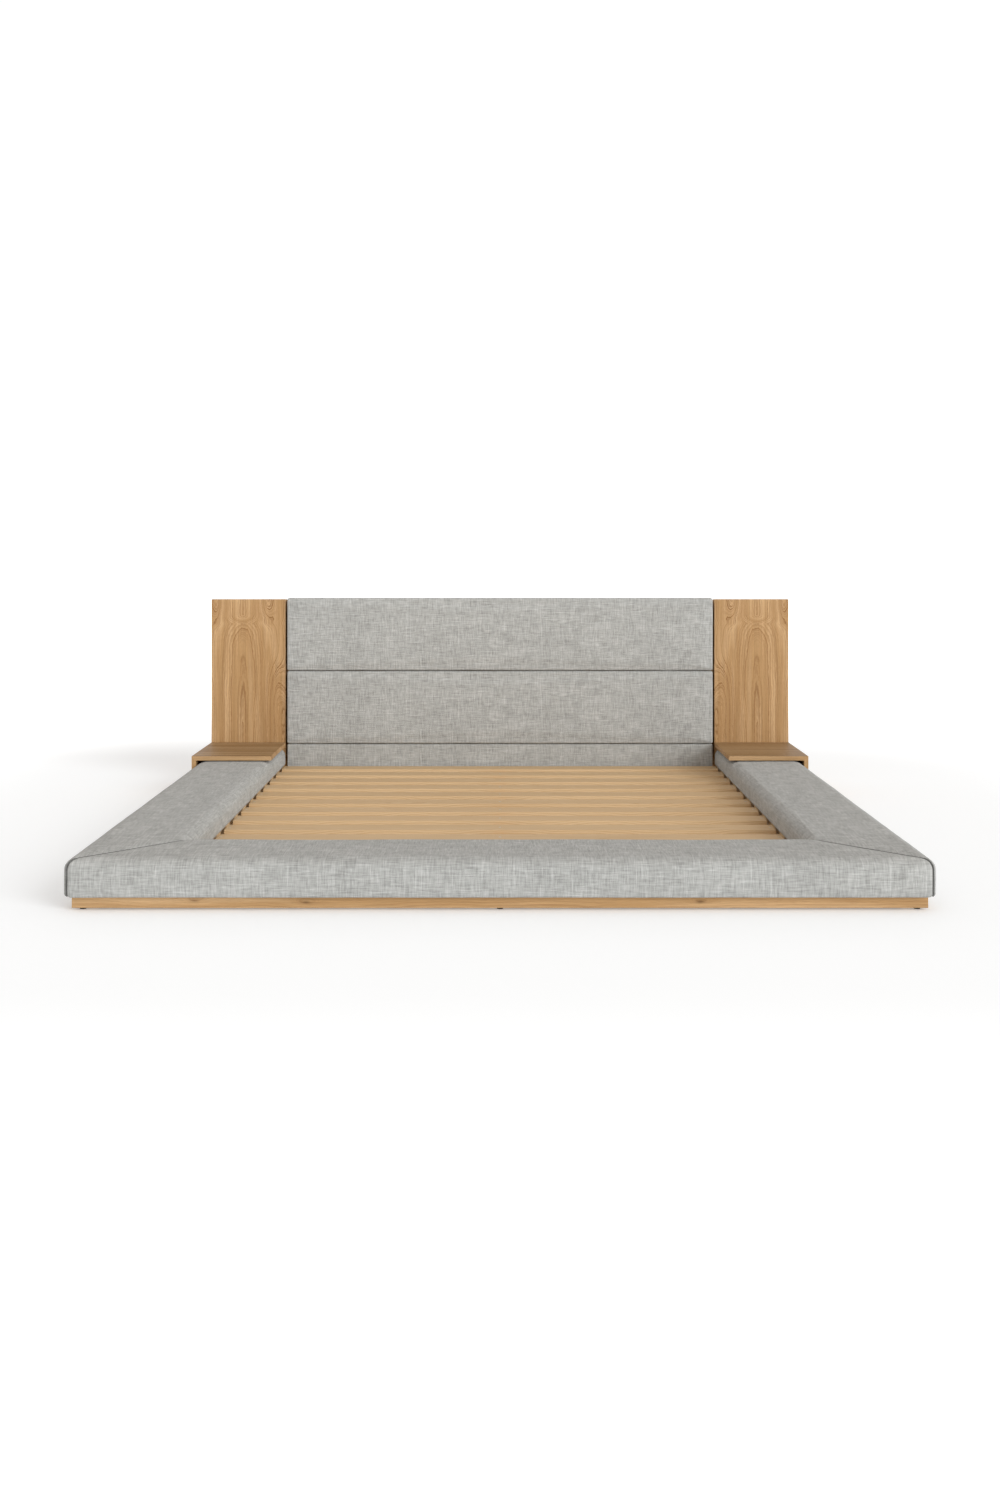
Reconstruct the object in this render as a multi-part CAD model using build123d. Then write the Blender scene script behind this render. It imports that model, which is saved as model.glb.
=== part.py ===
from build123d import *

import os

# Low upholstered platform bed frame for a king mattress, with an oak plinth, oak headboard wings and
# two oak bedside shelves that step over the side rails.
#
# Frame: +Z up, X across the bed, -Y the foot end, +Y the headboard. The origin is on the floor, in
# the middle of the frame's length and width. Every length is in millimetres.

# ---- driving dimensions -------------------------------------------------------------------------
mattress_width = 1930
mattress_length = 2032
side_clearance = 35  # between the mattress and each side rail
end_clearance = 24  # at the mattress's two ends together
rail_width = 324  # of each upholstered rail, seen from above
rail_top = 160  # crown of the upholstery above the floor
floor_gap = 8  # between the floor and the woodwork
deck_top = 80  # top of the slats, where the mattress lies
headboard_top = 860
channel_height = 521  # the line between the two headboard cushions
headboard_depth = 100
wing_setback = 20  # the oak wings stand this far behind the cushions' faces
shelf_depth = 443
board = 18  # carcass boards, plinth boards and slats
oak_board = 19  # bedside boards
arris = 1  # rounding of the oak's visible edges
slat_count = 12

# ---- plan, worked out from the dimensions above -------------------------------------------------
recess_half = mattress_width / 2 + side_clearance
platform_half = recess_half + rail_width
recess_length = mattress_length + end_clearance
total_length = rail_width + recess_length + headboard_depth
foot_y = -total_length / 2
recess_foot_y = foot_y + rail_width
cushion_y = recess_foot_y + recess_length
wing_y = cushion_y + wing_setback
back_y = total_length / 2

# ---- upholstery ---------------------------------------------------------------------------------
fabric = 2
outer_foam = 12
inner_foam = 10
cover_base = 43
corner_radius = 28  # rounding of the foot corners, seen from above
shoulder_radius = 36  # top outer edge
recess_radius = 34  # top edge along the mattress
recess_corner = 20  # the recess's foot corners, seen from above
hem_radius = 9
cushion_depth = 45
cushion_edge = 16
wing_gap = 9  # between the cushions and the oak wings
cushion_half = recess_half - wing_gap
channel_gap = 3  # between the two cushions
lower_cushion_base = channel_height - (headboard_top - channel_height)
apron_setback = 8  # behind the cushions' faces
apron_edge = 5

# ---- rail carcasses and plinth ------------------------------------------------------------------
carcass_base = 45
carcass_top = 134
carcass_half = platform_half - fabric - outer_foam
carcass_inner = recess_half + fabric + inner_foam
carcass_foot_y = foot_y + fabric + outer_foam
carcass_recess_y = recess_foot_y - fabric - inner_foam
skin = 12  # plywood of the carcass tops and bottoms and of the headboard
foot_rib_spacing = 440
side_rib_count = 6
plinth_inset = 21  # behind the upholstery's faces
plinth_x = platform_half - plinth_inset
plinth_foot_y = foot_y + plinth_inset
plinth_back_y = cushion_y

# ---- deck ---------------------------------------------------------------------------------------
slat_base = deck_top - board
slat_width = 100
slat_edge = 3
slat_gap = 2  # between the slats' ends and the side rails
slat_half = recess_half - slat_gap
slat_margin = 60  # from the recess's ends to the middle of the first and last slats
slat_step = (recess_length - 2 * slat_margin) / (slat_count - 1)
slat_rows = [recess_foot_y + slat_margin + i * slat_step for i in range(slat_count)]
ledger_width = 40
ledger_x = (slat_half + carcass_inner - ledger_width) / 2
beam_width = 60
bracket_leg = 40
bracket_steel = 3
bracket_margin = 2  # below the slats and above the carcass's underside

# ---- headboard and bedside boards ---------------------------------------------------------------
wing_top = 853
side_gap = 3  # between the rails and the bedside uprights
side_x = platform_half + side_gap
wing_half = side_x + oak_board
shelf_base = 167
shelf_top = shelf_base + oak_board
shelf_y = wing_y - shelf_depth
panel_y = cushion_y + cushion_depth
panel_margin = 2  # inside the cushions' ends
panel_drop = 4  # below the upper cushion's top
panel_base = slat_base + 2
lining = 5  # thin panel over the headboard's back
lining_base = 60
lining_margin = 4
frame_rail_y = panel_y + skin
frame_back_y = back_y - lining
frame_rail_height = 45
end_board = 16  # closes each end of the headboard's back
frame_rail_half = wing_half - lining_margin - end_board
frame_rails = {"bottom": 120, "middle": 499, "top": 798}  # their undersides
upright_width = 44
upright_columns = (-960, -320, 320, 960)

# ---- hardware -----------------------------------------------------------------------------------
bolt_radius = 4
bolt_hole = 4.25
bolt_head_radius = 7
bolt_head = 6
bolt_z = (carcass_base + carcass_top) / 2
bolt_spread = 60  # from the middle of a carcass
bolt_middle = (carcass_inner + carcass_half) / 2
bolt_x = (bolt_middle - bolt_spread, bolt_middle + bolt_spread)
bolt_nut_slack = 0.02
screw_radius = 2.2
screw_clearance = 0.1
screw_head_radius = 4.5
screw_head = 2.5
slat_screw_length = 33
screw_columns = (-ledger_x, 0, ledger_x)
shelf_screw_bite = 34  # into the shelf or its side
shelf_screw_z = (shelf_base + shelf_top) / 2
shelf_screw_insets = (50, 160, 270)  # from the wing's inner edge
side_screw_heights = (60, 120)
nightstand_screw_places = [(recess_half + inset, shelf_screw_z) for inset in shelf_screw_insets]
nightstand_screw_places += [(side_x + oak_board / 2, height) for height in side_screw_heights]

# ---- feet ---------------------------------------------------------------------------------------
pad_radius = 10
pad_height = floor_gap - 0.3
pad_edge = 0.8
stud_radius = 4
stud_top = 31
insert_radius = 6
insert_bore = 4.05
insert_height = 16
stud_room = 0.6  # round the stud above its insert
foot_hole_top = 37
foot_inset = 27  # from the plinth's faces
foot_x = plinth_x - foot_inset
foot_columns = {"left": -foot_x, "center": 0, "right": foot_x}
foot_rows = {
    "front": plinth_foot_y + foot_inset,
    "middle": (plinth_foot_y + plinth_back_y) / 2,
    "back": plinth_back_y - foot_inset,
}
block_size = 54
glide_radius = 8
near_glide = 40  # from a board's first end
far_glide = 60  # from its other end


def span(x0, x1, y0, y1, z0, z1):
    """A square-edged block between those limits."""
    size = Box(x1 - x0, y1 - y0, z1 - z0)
    return Pos((x0 + x1) / 2, (y0 + y1) / 2, (z0 + z1) / 2) * size


def prism(points, z0, z1):
    """An outline seen from above, carried from z0 up to z1."""
    outline = Polyline(*points, close=True)
    return extrude(Plane.XY.offset(z0) * make_face(outline), z1 - z0)


def rod_y(x, z, radius, y0, y1):
    """A round bar along Y."""
    return Pos(x, (y0 + y1) / 2, z) * Rot(90, 0, 0) * Cylinder(radius, y1 - y0)


def rod_z(x, y, radius, z0, z1):
    """A round bar along Z."""
    return Pos(x, y, (z0 + z1) / 2) * Cylinder(radius, z1 - z0)


def eased(shape, facing, along):
    """Rounds the arrises that run along one axis on the board's first face along another."""
    return fillet(shape.faces().sort_by(facing)[0].edges().filter_by(along), arris)


def mirrored(shape):
    """The same piece on the other side of the bed."""
    return mirror(shape, Plane.YZ)


def write(name, *solids):
    """One file per sub-part, holding its solid or its group of separate solids."""
    shape = solids[0] if len(solids) == 1 else Compound(children=list(solids))
    export_step(shape, f"parts/{name}.step")


# ---- the upholstered U of the three rails -------------------------------------------------------
def rail_outline(outer, inner, base, top):
    """The U with square top edges, outer and inner giving how far it is shrunk on those sides."""
    x_out = platform_half - outer
    x_in = recess_half + inner
    whole = span(-x_out, x_out, foot_y + outer, wing_y, base, top)
    recess = span(-x_in, x_in, recess_foot_y - inner, wing_y, base, top)
    return whole - recess


def soft_u(shrink, base, top):
    """The rounded U: rounded foot corners, a full outer shoulder, a softer edge by the mattress."""
    body = rail_outline(shrink, shrink, base, top)
    upright = body.edges().filter_by(Axis.Z)
    corners = [e for e in upright if e.center().Y < foot_y + shrink + 1]
    body = fillet(corners, corner_radius - shrink)
    upright = body.edges().filter_by(Axis.Z)
    inner_corner_y = recess_foot_y - shrink
    nooks = [e for e in upright if abs(e.center().Y - inner_corner_y) < 1]
    body = fillet(nooks, recess_corner + shrink)
    rim = body.faces().sort_by(Axis.Z)[-1].edges()
    body = fillet([e for e in rim if by_outside(e, shrink)], shoulder_radius - shrink)
    rim = body.faces().sort_by(Axis.Z)[-1].edges()
    body = fillet([e for e in rim if by_recess(e, shrink)], recess_radius - shrink)
    hem = body.faces().sort_by(Axis.Z)[0].edges()
    return fillet([e for e in hem if by_outside(e, shrink)], hem_radius - shrink)


def by_recess(edge, shrink):
    """Whether an edge runs along the mattress recess."""
    c = edge.center()
    return abs(c.X) < recess_half + shrink + 1 and recess_foot_y - shrink - 1 < c.Y < wing_y - 1


def by_outside(edge, shrink):
    """Whether an edge runs round the outside of the platform."""
    c = edge.center()
    return c.Y < wing_y - 1 and not by_recess(edge, shrink)


def below_deck(depth):
    """The room along the recess, under the deck, where the slats and their ledgers are fastened."""
    x_in = recess_half + depth
    return span(-x_in, x_in, recess_foot_y - depth, wing_y, 0, deck_top + fabric)


def cover_u():
    """Upholstery fabric over the three rails, turned in under their outer edges."""
    turn_in = plinth_inset - 1
    skin_u = soft_u(0, cover_base, rail_top) - soft_u(fabric, carcass_base, rail_top - fabric)
    open_base = rail_outline(turn_in, -1, cover_base - 1, carcass_base)
    return skin_u - open_base - below_deck(fabric + inner_foam)


def foam_u():
    """Foam between the fabric and the timber."""
    carcass = rail_outline(fabric + outer_foam, fabric + inner_foam, carcass_base, carcass_top)
    body = soft_u(fabric, carcass_base, rail_top - fabric)
    return body - carcass - below_deck(fabric + inner_foam)


def mitred(u_shape):
    """The U cut at its two mitre seams: foot rail, left rail and right rail."""
    reach = 50
    low, high = 0, rail_top + reach
    outer = (platform_half + reach, foot_y - reach)
    inner = (recess_half - reach, recess_foot_y + reach)
    foot_part = [(-outer[0], outer[1]), outer, inner, (-inner[0], inner[1])]
    side_part = [outer, (outer[0], wing_y + reach), (inner[0], wing_y + reach), inner]
    foot_rail = u_shape & prism(foot_part, low, high)
    right_rail = u_shape & prism(side_part, low, high)
    return foot_rail, mirrored(right_rail), right_rail


# ---- rail carcasses -----------------------------------------------------------------------------
def bolt_holes(y0, y1):
    """Clearance holes for the right-hand pair of bolts."""
    return [rod_y(x, bolt_z, bolt_hole, y0, y1) for x in bolt_x]


def foot_carcass():
    """Box of the foot rail: top, bottom, two long boards and the ribs between them."""
    x, y0, y1 = carcass_half, carcass_foot_y, carcass_recess_y
    low, high = carcass_base + skin, carcass_top - skin
    bottom = span(-x, x, y0, y1, carcass_base, low)
    top = span(-x, x, y0, y1, high, carcass_top)
    front = span(-x, x, y0, y0 + board, low, high)
    back = span(-x, x, y1 - board, y1, low, high)
    for hole in bolt_holes(y1 - board, y1):
        back = back - hole - mirrored(hole)
    end = x - board / 2
    rib_columns = [-end, *[i * foot_rib_spacing for i in range(-2, 3)], end]
    ribs = []
    for middle in rib_columns:
        left, right = middle - board / 2, middle + board / 2
        ribs.append(span(left, right, y0 + board, y1 - board, low, high))
    return [bottom, top, front, back, *ribs]


def side_carcass():
    """Box of the right side rail. Its end boards take the bolts to the foot rail and the wing."""
    x0, x1, y0, y1 = carcass_inner, carcass_half, carcass_recess_y, wing_y
    low, high = carcass_base + skin, carcass_top - skin
    bottom = span(x0, x1, y0, y1, carcass_base, low)
    top = span(x0, x1, y0, y1, high, carcass_top)
    inner = span(x0, x0 + board, y0, y1, low, high)
    outer = span(x1 - board, x1, y0, y1, low, high)
    step = (y1 - y0 - board) / (side_rib_count - 1)
    ribs = []
    for i in range(side_rib_count):
        near = y0 + i * step
        rib = span(x0 + board, x1 - board, near, near + board, low, high)
        if i in (0, side_rib_count - 1):
            for hole in bolt_holes(y0, y1):
                rib = rib - hole
        ribs.append(rib)
    return [bottom, top, inner, outer, *ribs]


# ---- plinth, feet and deck ----------------------------------------------------------------------
def plinth_front():
    """Front board, mitred at both ends."""
    inner_x = plinth_x - board
    points = [
        (-plinth_x, plinth_foot_y),
        (plinth_x, plinth_foot_y),
        (inner_x, plinth_foot_y + board),
        (-inner_x, plinth_foot_y + board),
    ]
    return eased(prism(points, floor_gap, carcass_base), Axis.Y, Axis.X)


def plinth_side():
    """Right board, mitred where it meets the front one."""
    inner_x = plinth_x - board
    points = [
        (plinth_x, plinth_foot_y),
        (plinth_x, wing_y),
        (inner_x, wing_y),
        (inner_x, plinth_foot_y + board),
    ]
    return prism(points, floor_gap, carcass_base)


def plinth_back():
    """Plain board between the side boards at the head end."""
    x = plinth_x - board
    return span(-x, x, plinth_back_y - board, plinth_back_y, floor_gap, carcass_base)


def foot_socket(x, y):
    """The room that a foot's threaded insert and stud take in the timber above it."""
    insert_top = floor_gap + insert_height
    hole = rod_z(x, y, stud_radius + stud_room, insert_top, foot_hole_top)
    return hole + rod_z(x, y, insert_radius, floor_gap, insert_top)


def foot_blocks():
    """Blocks glued inside the plinth, one over each foot but the one under the beam."""
    inner_x, half = plinth_x - board, block_size / 2
    front, middle, back = plinth_foot_y + board, foot_rows["middle"], plinth_back_y - board
    rows = {
        "front": (front, front + block_size),
        "middle": (middle - half, middle + half),
        "back": (back - block_size, back),
    }
    columns = {
        "left": (-inner_x, block_size - inner_x),
        "center": (-half, half),
        "right": (inner_x - block_size, inner_x),
    }
    blocks = []
    for row, (y0, y1) in rows.items():
        for column, (x0, x1) in columns.items():
            if (row, column) != ("middle", "center"):
                block = span(x0, x1, y0, y1, floor_gap, carcass_base)
                blocks.append(block - foot_socket(foot_columns[column], foot_rows[row]))
    return blocks


def leveling_foot(x, y):
    """Round glide on a threaded stud, screwed fully home."""
    pad = rod_z(x, y, pad_radius, 0, pad_height)
    pad = fillet(pad.edges().group_by(Axis.Z)[0], pad_edge)
    return pad + rod_z(x, y, stud_radius, pad_height, stud_top)


def threaded_insert(x, y):
    """Insert nut that a foot's stud turns in."""
    insert_top = floor_gap + insert_height
    body = rod_z(x, y, insert_radius, floor_gap, insert_top)
    return body - rod_z(x, y, insert_bore, floor_gap, insert_top)


def center_beam():
    """Beam under the middle of the slats, with its own foot halfway along."""
    x = beam_width / 2
    beam = span(-x, x, carcass_recess_y, plinth_back_y - board, floor_gap, slat_base)
    over_block = plinth_back_y - board - block_size
    beam = beam - span(-x, x, over_block, plinth_back_y, floor_gap, carcass_base)
    beam = beam - foot_socket(foot_columns["center"], foot_rows["middle"])
    for y in slat_rows:
        beam = beam - slat_screw(0, y, screw_clearance)
    return beam


def beam_brackets():
    """Two steel angles that hold the beam's foot end to the foot rail."""
    x, y = beam_width / 2, carcass_recess_y
    z0, z1 = carcass_base + bracket_margin, slat_base - bracket_margin
    on_beam = span(x, x + bracket_steel, y, y + bracket_leg, z0, z1)
    on_rail = span(x, x + bracket_leg, y, y + bracket_steel, z0, z1)
    angle = on_beam + on_rail
    return [angle, mirrored(angle)]


def slat_ledger():
    """Cleat along the right rail that the slats' ends lie on."""
    x0, x1 = carcass_inner - ledger_width, carcass_inner
    y0, y1 = carcass_recess_y, plinth_back_y - board
    ledger = span(x0, x1, y0, y1, carcass_base, slat_base)
    for y in slat_rows:
        ledger = ledger - slat_screw(ledger_x, y, screw_clearance)
    return ledger


def slat_screw(x, y, grow=0.0):
    """Countersunk screw through a slat; grow makes the hole that it goes in."""
    head = Cone(screw_radius + grow, screw_head_radius + grow, screw_head)
    head = Pos(x, y, deck_top - screw_head / 2) * head
    tip = deck_top - slat_screw_length - grow
    return head + rod_z(x, y, screw_radius + grow, tip, deck_top - screw_head)


def slat(y):
    """One board of the deck, eased along its edges."""
    body = span(-slat_half, slat_half, y - slat_width / 2, y + slat_width / 2, slat_base, deck_top)
    body = fillet(body.edges().filter_by(Axis.X), slat_edge)
    for x in screw_columns:
        body = body - slat_screw(x, y, screw_clearance)
    return body


# ---- headboard ----------------------------------------------------------------------------------
def cushion(z0, z1, shrink):
    """Headboard cushion with rounded front edges; shrink is how far inside the fabric it lies."""
    x = cushion_half - shrink
    body = span(-x, x, cushion_y + shrink, panel_y, z0 + shrink, z1 - shrink)
    return fillet(body.faces().sort_by(Axis.Y)[0].edges(), cushion_edge - shrink)


def cushion_pieces(z0, z1):
    """Foam block, and the fabric over its front and edges."""
    foam = cushion(z0, z1, fabric)
    return foam, cushion(z0, z1, 0) - foam


def headboard_apron():
    """Fabric-wrapped board between the lower cushion and the deck."""
    x, y0 = cushion_half, cushion_y + apron_setback
    body = span(-x, x, y0, panel_y, panel_base, lower_cushion_base - channel_gap)
    return fillet(body.faces().sort_by(Axis.Y)[0].edges(), apron_edge)


def headboard_panel():
    """Plywood behind the cushions."""
    x = cushion_half - panel_margin
    return span(-x, x, panel_y, frame_rail_y, panel_base, headboard_top - panel_drop)


def headboard_rail(z0):
    """Rail across the whole back, which joins the middle to the two wings."""
    x = frame_rail_half
    return span(-x, x, frame_rail_y, frame_back_y, z0, z0 + frame_rail_height)


def headboard_uprights():
    """Uprights between the three rails."""
    half = upright_width / 2
    pieces = []
    for lower, upper in (("bottom", "middle"), ("middle", "top")):
        base, top = frame_rails[lower] + frame_rail_height, frame_rails[upper]
        for x in upright_columns:
            pieces.append(span(x - half, x + half, frame_rail_y, frame_back_y, base, top))
    return pieces


def headboard_end():
    """Board across the right end of the rails, between the wing and the lining."""
    x0, x1 = frame_rail_half, wing_half - lining_margin
    return span(x0, x1, frame_rail_y, frame_back_y, lining_base, wing_top - lining_margin)


def headboard_lining():
    """Thin panel that closes the headboard's back."""
    x = wing_half - lining_margin
    return span(-x, x, frame_back_y, back_y, lining_base, wing_top - lining_margin)


def oak_wing():
    """Veneered panel beside the cushions, standing on the floor behind the right rail."""
    wing = span(recess_half, wing_half, wing_y, frame_rail_y, floor_gap, wing_top)
    wing = fillet(wing.faces().sort_by(Axis.Y)[0].edges(), arris)
    for hole in bolt_holes(wing_y, frame_rail_y):
        wing = wing - hole
    for x, z in nightstand_screw_places:
        wing = wing - nightstand_screw(x, z, screw_clearance)
    return wing


# ---- bedside shelves ----------------------------------------------------------------------------
def nightstand_screw(x, z, grow=0.0):
    """Screw from behind the wing into the shelf or its side."""
    tip = wing_y - shelf_screw_bite - grow
    head = Rot(-90, 0, 0) * Cone(screw_radius + grow, screw_head_radius + grow, screw_head)
    head = Pos(x, frame_rail_y - screw_head / 2, z) * head
    return head + rod_y(x, z, screw_radius + grow, tip, frame_rail_y - screw_head)


def upright_prism(points, y0, y1):
    """An outline seen from the foot end, carried from y0 to y1."""
    outline = Polyline(*[(x, y0, z) for x, z in points], close=True)
    return extrude(make_face(outline), y1 - y0, dir=(0, 1, 0))


def nightstand_shelf():
    """Right shelf over the rail, mitred to its side."""
    points = [
        (recess_half, shelf_base),
        (side_x, shelf_base),
        (wing_half, shelf_top),
        (recess_half, shelf_top),
    ]
    shelf = eased(upright_prism(points, shelf_y, wing_y), Axis.Y, Axis.X)
    for x, z in nightstand_screw_places:
        shelf = shelf - nightstand_screw(x, z, screw_clearance)
    return shelf


def nightstand_side():
    """Right upright outside the rail, from the shelf down to the floor gap."""
    points = [
        (side_x, floor_gap),
        (wing_half, floor_gap),
        (wing_half, shelf_top),
        (side_x, shelf_base),
    ]
    side = eased(upright_prism(points, shelf_y, wing_y), Axis.Y, Axis.Z)
    for x, z in nightstand_screw_places:
        side = side - nightstand_screw(x, z, screw_clearance)
    return side


def nail_glides():
    """Fixed glides under the wings and the bedside uprights, four on each side."""
    wing_mid = (wing_y + frame_rail_y) / 2
    side_mid = side_x + oak_board / 2
    places = [(recess_half + near_glide, wing_mid), (wing_half - far_glide, wing_mid)]
    places += [(side_mid, shelf_y + near_glide), (side_mid, wing_y - far_glide)]
    glides = [rod_z(x, y, glide_radius, 0, floor_gap) for x, y in places]
    return glides + [mirrored(g) for g in glides]


# ---- connecting bolts ---------------------------------------------------------------------------
def bolt(x, seat_y, end_y):
    """Bolt along +Y with its head against seat_y."""
    head = rod_y(x, bolt_z, bolt_head_radius, seat_y - bolt_head, seat_y)
    return head + rod_y(x, bolt_z, bolt_radius, seat_y, end_y)


def connector(x, seat_y, nut_y):
    """A bolt and the nut at its other end."""
    nut = rod_y(x, bolt_z, bolt_head_radius, nut_y, nut_y + bolt_head)
    nut = nut - rod_y(x, bolt_z, bolt_radius + bolt_nut_slack, nut_y, nut_y + bolt_head)
    return bolt(x, seat_y, nut_y + bolt_head), nut


def connectors():
    """Bolts and nuts of both sides: foot rail to side rails, and side rails to wings."""
    bolts, nuts = [], []
    joints = [
        (carcass_recess_y - board, carcass_recess_y + board),
        (wing_y - board, frame_rail_y),
    ]
    for seat_y, nut_y in joints:
        for x in bolt_x:
            screw, nut = connector(x, seat_y, nut_y)
            bolts += [screw, mirrored(screw)]
            nuts += [nut, mirrored(nut)]
    return bolts, nuts


# ---- build --------------------------------------------------------------------------------------
def write_pair(name, right):
    """The right-hand piece and its mirror image."""
    write(f"right_{name}", right)
    write(f"left_{name}", mirrored(right))


def main():
    os.makedirs("parts", exist_ok=True)

    for kind, u_shape in (("foam", foam_u()), ("cover", cover_u())):
        foot_rail, left_rail, right_rail = mitred(u_shape)
        write(f"foot_rail_{kind}", foot_rail)
        write(f"left_rail_{kind}", left_rail)
        write(f"right_rail_{kind}", right_rail)

    boards = side_carcass()
    write("foot_rail_carcass", *foot_carcass())
    write("right_rail_carcass", *boards)
    write("left_rail_carcass", *[mirrored(b) for b in boards])

    write("plinth_front", plinth_front())
    write("plinth_back", plinth_back())
    write_pair("plinth", plinth_side())
    write("foot_blocks", *foot_blocks())

    inserts = []
    for row, y in foot_rows.items():
        for column, x in foot_columns.items():
            write(f"leveling_foot_{row}_{column}", leveling_foot(x, y))
            inserts.append(threaded_insert(x, y))
    write("threaded_inserts", *inserts)

    write("center_beam", center_beam())
    write("beam_brackets", *beam_brackets())
    write_pair("slat_ledger", slat_ledger())
    for number, y in enumerate(slat_rows, 1):
        write(f"slat_{number:02d}", slat(y))
    write("slat_screws", *[slat_screw(x, y) for y in slat_rows for x in screw_columns])

    half_gap = channel_gap / 2
    upper = cushion_pieces(channel_height + half_gap, headboard_top)
    lower = cushion_pieces(lower_cushion_base, channel_height - half_gap)
    for name, (foam, cover) in (("upper", upper), ("lower", lower)):
        write(f"{name}_cushion_foam", foam)
        write(f"{name}_cushion_cover", cover)
    write("headboard_apron", headboard_apron())
    write("headboard_panel", headboard_panel())
    write("headboard_lining", headboard_lining())
    write("headboard_rails", *[headboard_rail(z0) for z0 in frame_rails.values()])
    write("headboard_uprights", *headboard_uprights())
    write_pair("headboard_end", headboard_end())
    write_pair("oak_wing", oak_wing())

    write_pair("nightstand_shelf", nightstand_shelf())
    write_pair("nightstand_side", nightstand_side())
    screws = [nightstand_screw(x, z) for x, z in nightstand_screw_places]
    write("nightstand_screws", *screws, *[mirrored(s) for s in screws])
    write("nail_glides", *nail_glides())

    bolts, nuts = connectors()
    write("connector_bolts", *bolts)
    write("connector_nuts", *nuts)


main()
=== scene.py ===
"""Looks of the platform bed frame: linen upholstery on its rails and headboard, figured oak wings,
oak plinth and bedside shelves, softwood deck and zinc-plated hardware. Lengths are in metres."""

import math

import bmesh
import bpy
import numpy as np
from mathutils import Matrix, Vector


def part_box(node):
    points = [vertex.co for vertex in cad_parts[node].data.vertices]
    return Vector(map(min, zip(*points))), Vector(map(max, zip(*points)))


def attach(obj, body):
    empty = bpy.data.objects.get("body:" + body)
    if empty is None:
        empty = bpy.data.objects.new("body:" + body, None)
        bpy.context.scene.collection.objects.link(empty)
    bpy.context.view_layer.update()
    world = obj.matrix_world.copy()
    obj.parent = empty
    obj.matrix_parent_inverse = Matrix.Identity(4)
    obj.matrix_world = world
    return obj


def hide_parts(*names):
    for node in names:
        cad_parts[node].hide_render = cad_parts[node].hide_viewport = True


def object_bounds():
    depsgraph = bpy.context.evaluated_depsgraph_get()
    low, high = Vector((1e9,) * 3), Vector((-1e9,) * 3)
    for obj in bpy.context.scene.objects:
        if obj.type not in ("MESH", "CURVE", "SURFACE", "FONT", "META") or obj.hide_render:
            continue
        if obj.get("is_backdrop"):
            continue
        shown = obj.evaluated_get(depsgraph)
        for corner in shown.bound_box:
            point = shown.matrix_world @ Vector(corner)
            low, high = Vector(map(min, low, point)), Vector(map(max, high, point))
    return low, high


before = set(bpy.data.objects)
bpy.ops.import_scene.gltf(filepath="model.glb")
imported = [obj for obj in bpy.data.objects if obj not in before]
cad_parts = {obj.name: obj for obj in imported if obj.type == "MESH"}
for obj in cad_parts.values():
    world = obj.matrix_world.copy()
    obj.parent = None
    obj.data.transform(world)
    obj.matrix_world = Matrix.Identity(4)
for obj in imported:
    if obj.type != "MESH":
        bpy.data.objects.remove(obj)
size_at_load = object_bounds()

BODY = "bed_frame"

# ---- places read from the frame -----------------------------------------------------------------
cover_low, cover_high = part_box("right_rail_cover")
carcass_low, carcass_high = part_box("right_rail_carcass")
wing_low, wing_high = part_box("right_oak_wing")
recess_half = wing_low[0]
rail_base = cover_low[2]
foot_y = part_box("foot_rail_cover")[0][1]
wing_y = wing_low[1]
deck_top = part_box("slat_01")[1][2]

# ---- upholstery ---------------------------------------------------------------------------------
swell = 0.0035  # the most that the foam lifts the cover
face_lead = 0.0025  # of the rails' outer faces, ahead of the CAD solid's
top_drop = 0.001  # of the rails' skin below the CAD cover's top, before it swells
rail_top = cover_high[2] - top_drop
corner_radius = 0.028  # foot corners, seen from above
shoulder_radius = 0.033
recess_radius = 0.034
hem_radius = 0.009
hem_turn_in = 0.017
hem_points = 2  # of a rail's outline that lie in its turned-in hem
deck_clearance = 0.002  # of the rails' inner edge above the slats
seam_depth = 0.0075
seam_width = 0.0085
welt_radius = 0.0026
welt_sides = 8
welt_sink = 0.0034  # of the welt's middle below the cover
cushion_edge = 0.010
cushion_swell = 0.005
apron_edge = 0.005
end_inset = 0.020  # of the first ring of a cushion's end
back_band = 0.010  # tacked strip along a cushion's back
held_rings = 3  # tacked rings at a cushion's ends
ripple = 0.0006  # slow unevenness of stretched cloth
ripple_waves = ((5.1, 4.3, 9.0, 0.4), (11.7, 9.1, 17.0, 2.1), (19.0, 23.0, 31.0, 4.0), (3.1, 2.3, 6.0, 1.2))
upright_clearance = 0.0012  # between a swollen side rail and the bedside upright
press_start = 0.040  # in front of the upright, where the rail starts to be pressed back
press_reach = 0.030
outer_half = cover_high[0] + face_lead
front_y = foot_y - face_lead
rail_width = outer_half - recess_half

# ---- spacing of the meshes ----------------------------------------------------------------------
cell = 0.013
arc_cell = 0.0055  # along rounded edges
end_steps = (0, 0.0012, 0.0026, 0.0044, 0.0068, 0.010, 0.015, 0.022, 0.031, 0.042)
edge_steps = (0.003, 0.006, 0.0095, 0.014)  # from a cushion's edges
depth_lines = 4  # from there to a cushion's back
tiny = 1e-9

# ---- cloth simulation ---------------------------------------------------------------------------
sim_frames = 20
rail_pressure = 1.0
cushion_pressure = 2.0
cloth_settings = {
    "quality": 6,
    "mass": 0.3,
    "tension_stiffness": 25,
    "compression_stiffness": 25,
    "shear_stiffness": 12,
    "bending_stiffness": 1.5,
    "air_damping": 2.0,
}

# ---- camera -------------------------------------------------------------------------------------
camera_distance = 4.4395  # in front of the foot rail
camera_height = 1.123
focal_share = 1466 / 1500  # focal length over the view's long side
horizon_shift = -0.139
sensor = 36.0  # millimetres

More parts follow.
